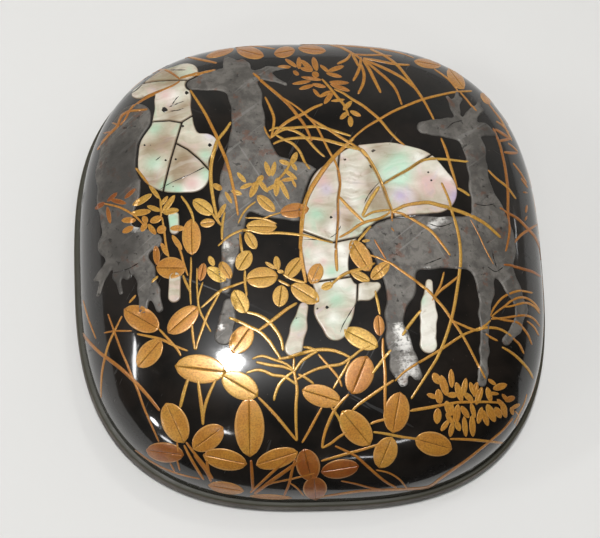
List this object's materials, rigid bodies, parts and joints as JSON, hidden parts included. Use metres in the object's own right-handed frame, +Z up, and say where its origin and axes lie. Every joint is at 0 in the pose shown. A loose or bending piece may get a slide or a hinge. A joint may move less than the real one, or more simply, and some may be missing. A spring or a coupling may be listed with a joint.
{
  "type": "decorative lacquer box",
  "caption": "Small rounded-square lacquer box with a domed lift-off lid, inlaid with deer in lead and shell among gold plants, on a shallow tray body.",
  "frame": {"origin": "middle of the underside that the box stands on", "axes": "+Z up through the lid's crown, +X to the right and +Y away from the near side, both across the flat sides of the rounded square"},
  "size_m": [0.0796, 0.0816, 0.0209],
  "materials": {
    "black_lacquer": "polished black lacquer over wood, worn a little, with fine scratches",
    "brown_band": "dull brown-black lacquer on the body's band, black lacquer inside",
    "lead_sheet": "old lead sheet, grey, pitted, with brownish flecks and brighter worn places",
    "pearl_shell": "mother-of-pearl, cream with green and pink lustre, and thin cracks",
    "gold_decoration": "gold powder sprinkled on lacquer, slightly raised"
  },
  "bodies": {
    "root": {"body": "brown_band", "lid": "black_lacquer", "standing_deer_lead": "lead_sheet", "watching_deer_lead": "lead_sheet", "watching_deer_shin": "lead_sheet", "bowing_deer_lead": "lead_sheet", "grazing_deer_shell_1": "pearl_shell", "grazing_deer_shell_2": "pearl_shell", "grazing_deer_shell_3": "pearl_shell", "grazing_deer_shell_4": "pearl_shell", "grazing_deer_shell_5": "pearl_shell", "grazing_deer_shell_6": "pearl_shell", "grazing_deer_shell_7": "pearl_shell", "grazing_deer_foreleg": "pearl_shell", "grazing_deer_hindleg": "pearl_shell", "alert_deer_shell_1": "pearl_shell", "alert_deer_shell_2": "pearl_shell", "alert_deer_shell_3": "pearl_shell", "alert_deer_shell_4": "pearl_shell", "alert_deer_shell_5": "pearl_shell", "alert_deer_knee": "pearl_shell", "alert_deer_hoof": "pearl_shell"}
  },
  "joints": []
}
